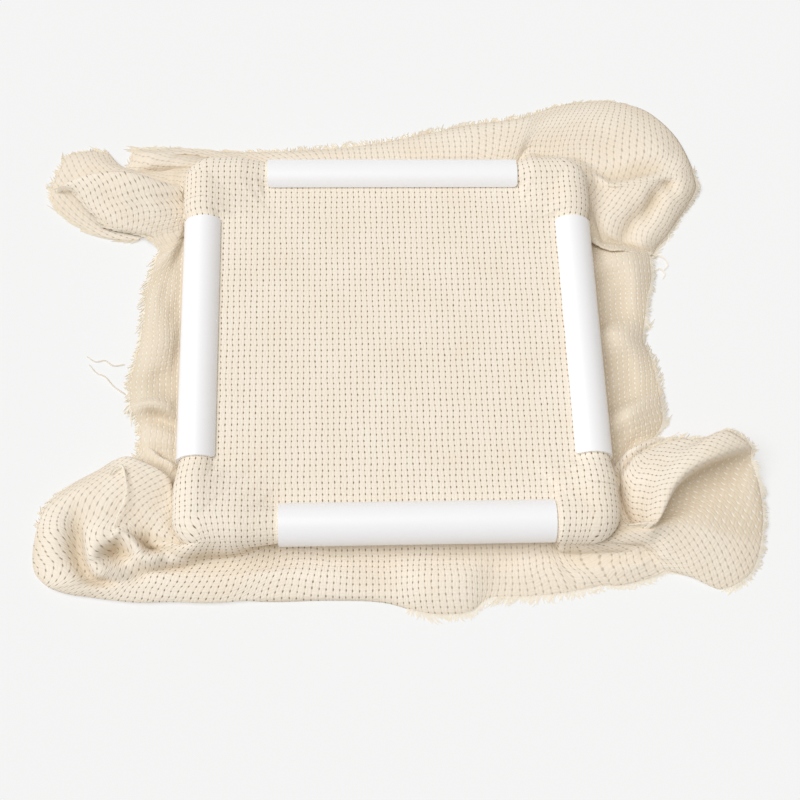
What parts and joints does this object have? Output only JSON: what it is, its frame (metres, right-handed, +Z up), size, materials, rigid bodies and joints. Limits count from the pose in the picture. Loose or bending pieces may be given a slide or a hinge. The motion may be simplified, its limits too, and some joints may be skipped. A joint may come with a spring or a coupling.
{
  "type": "square embroidery frame",
  "caption": "Square embroidery frame of plastic tubes and elbows, with split sleeves pressed over the tubes to hold a square of open-weave cloth taut.",
  "frame": {"origin": "middle of the whole object seen from above, on the table it lies on", "axes": "+X to the right along the front tube, +Y to the back along the side tubes, +Z up from the table"},
  "size_m": [0.466, 0.378, 0.0325],
  "materials": {
    "tube": "smooth white extruded plastic with a soft sheen",
    "elbow": "smooth white moulded plastic with a soft sheen",
    "clamp": "smooth white plastic, half gloss",
    "cloth": "cream cotton basket weave with an open hole at each crossing and frayed edges"
  },
  "bodies": {
    "frame": {"elbow_front_left": "elbow", "elbow_front_right": "elbow", "elbow_back_right": "elbow", "elbow_back_left": "elbow", "cloth_panel": "cloth", "cloth_front": "cloth", "cloth_right": "cloth", "cloth_back": "cloth", "cloth_left": "cloth"},
    "tube_front": {"tube_front": "tube"},
    "clamp_front": {"clamp_front": "clamp"},
    "tube_right": {"tube_right": "tube"},
    "clamp_right": {"clamp_right": "clamp"},
    "tube_back": {"tube_back": "tube"},
    "clamp_back": {"clamp_back": "clamp"},
    "tube_left": {"tube_left": "tube"},
    "clamp_left": {"clamp_left": "clamp"}
  },
  "joints": [
    {"name": "front_tube_turn", "type": "hinge", "parent": "frame", "child": "tube_front", "pos_m": [-0.00301, -0.13378, 0.016], "axis": [1, 0, 0], "range_deg": [0, 12]},
    {"name": "front_clamp_off", "type": "slide", "parent": "tube_front", "child": "clamp_front", "axis": [0, -0.7071, 0.7071], "range_m": [0, 0.03]},
    {"name": "right_tube_turn", "type": "hinge", "parent": "frame", "child": "tube_right", "pos_m": [0.12269, -0.00808, 0.016], "axis": [0, 1, 0], "range_deg": [0, 12]},
    {"name": "right_clamp_off", "type": "slide", "parent": "tube_right", "child": "clamp_right", "axis": [0.7071, 0, 0.7071], "range_m": [0, 0.03]},
    {"name": "back_tube_turn", "type": "hinge", "parent": "frame", "child": "tube_back", "pos_m": [-0.00301, 0.11762, 0.016], "axis": [-1, 0, 0], "range_deg": [0, 12]},
    {"name": "back_clamp_off", "type": "slide", "parent": "tube_back", "child": "clamp_back", "axis": [0, 0.7071, 0.7071], "range_m": [0, 0.03]},
    {"name": "left_tube_turn", "type": "hinge", "parent": "frame", "child": "tube_left", "pos_m": [-0.12871, -0.00808, 0.016], "axis": [0, -1, 0], "range_deg": [0, 12]},
    {"name": "left_clamp_off", "type": "slide", "parent": "tube_left", "child": "clamp_left", "axis": [-0.7071, 0, 0.7071], "range_m": [0, 0.03]}
  ]
}
